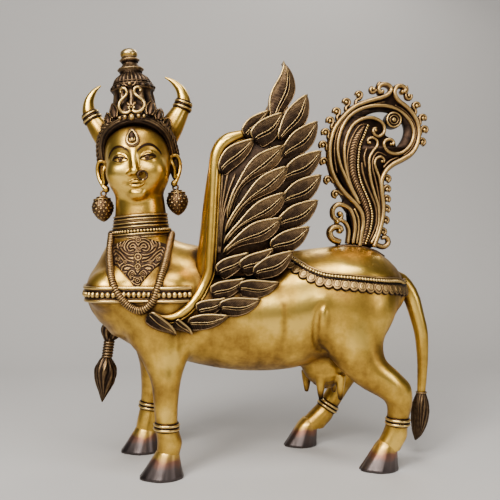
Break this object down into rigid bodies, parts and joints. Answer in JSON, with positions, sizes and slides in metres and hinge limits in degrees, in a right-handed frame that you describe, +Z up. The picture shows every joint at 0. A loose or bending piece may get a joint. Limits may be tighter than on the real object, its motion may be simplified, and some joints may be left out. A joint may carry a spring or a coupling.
{
  "type": "winged cow statue",
  "caption": "Standing cast brass cow with a woman's crowned head and bust, feathered wings and a curled peacock plume, for a floor, plinth or table.",
  "frame": {"origin": "middle of the box round the whole statue, at the level of the soles", "axes": "+Z up; the cow looks towards -X and its tail hangs at +X; the bust and the face are turned towards -Y"},
  "size_m": [0.5455, 0.1904, 0.631],
  "materials": {
    "antique_brass": "polished cast brass with a dark brown patina in the hollows, on the feathers, the hair, the ornaments and the hooves"
  },
  "bodies": {
    "root": {"kamdhenu_statue": "antique_brass"}
  },
  "joints": []
}
